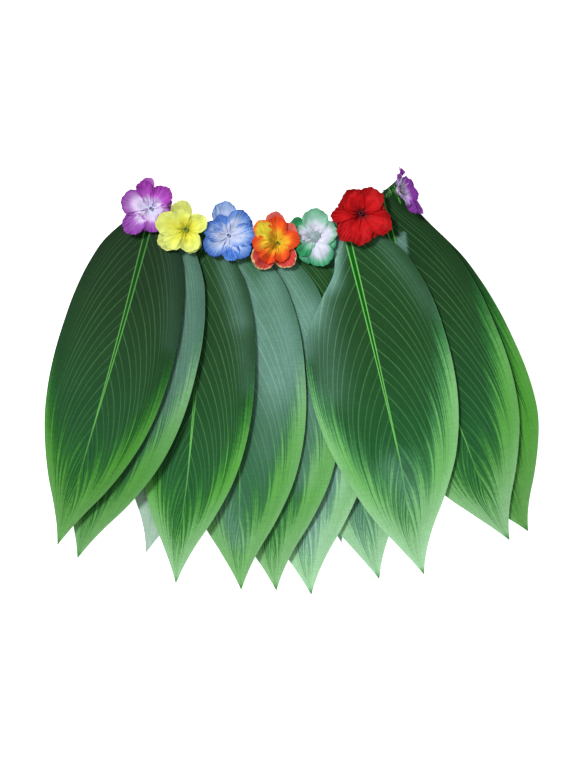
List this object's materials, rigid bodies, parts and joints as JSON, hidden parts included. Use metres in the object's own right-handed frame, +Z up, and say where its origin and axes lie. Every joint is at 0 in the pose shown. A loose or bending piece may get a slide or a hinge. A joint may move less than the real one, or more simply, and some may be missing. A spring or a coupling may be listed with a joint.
{
  "type": "leaf skirt",
  "caption": "Skirt of overlapping pointed fabric leaves hanging from an elastic waistband, trimmed with a row of fabric flowers, laid flat on its back.",
  "frame": {"origin": "on the surface the skirt lies on, under the middle of its bounding box", "axes": "+X to the right across the skirt as it is seen from above, +Y from the leaf tips up to the waistband, +Z up from the surface"},
  "size_m": [0.5352, 0.464, 0.0401],
  "materials": {
    "leaf_front": "stiffened satin polyester, printed dark green with pale veins and a bright green margin",
    "leaf_back": "the same polyester with its pale, faintly printed reverse outwards",
    "waistband": "dark green woven elastic",
    "violet_petals": "thin crimped polyester, white in the middle and violet at the rim",
    "yellow_petals": "thin crimped polyester, lemon yellow",
    "blue_petals": "thin crimped polyester, pale in the middle and blue at the rim",
    "orange_petals": "thin crimped polyester, yellow in the middle and orange red at the rim",
    "mint_petals": "thin crimped polyester, white with a green rim",
    "red_petals": "thin crimped polyester, deep red",
    "purple_petals": "thin crimped polyester, purple with a pale throat",
    "bead": "small translucent moulded bead"
  },
  "bodies": {
    "root": {"front_leaf_01": "leaf_front", "front_leaf_02": "leaf_front", "front_leaf_03": "leaf_front", "front_leaf_04": "leaf_front", "front_leaf_05": "leaf_front", "front_leaf_06": "leaf_front", "front_leaf_07": "leaf_front", "front_leaf_08": "leaf_front", "front_leaf_09": "leaf_front", "front_leaf_10": "leaf_front", "back_leaf_01": "leaf_back", "back_leaf_02": "leaf_back", "back_leaf_03": "leaf_back", "back_leaf_04": "leaf_back", "back_leaf_05": "leaf_back", "back_leaf_06": "leaf_back", "back_leaf_07": "leaf_back", "back_leaf_08": "leaf_back", "back_leaf_09": "leaf_back", "back_leaf_10": "leaf_back", "waistband": "waistband", "violet_flower": "violet_petals", "violet_flower_bead": "bead", "yellow_flower": "yellow_petals", "yellow_flower_bead": "bead", "blue_flower": "blue_petals", "blue_flower_bead": "bead", "orange_flower": "orange_petals", "orange_flower_bead": "bead", "mint_flower": "mint_petals", "mint_flower_bead": "bead", "red_flower": "red_petals", "red_flower_bead": "bead", "side_flower": "purple_petals", "side_flower_bead": "bead"}
  },
  "joints": []
}
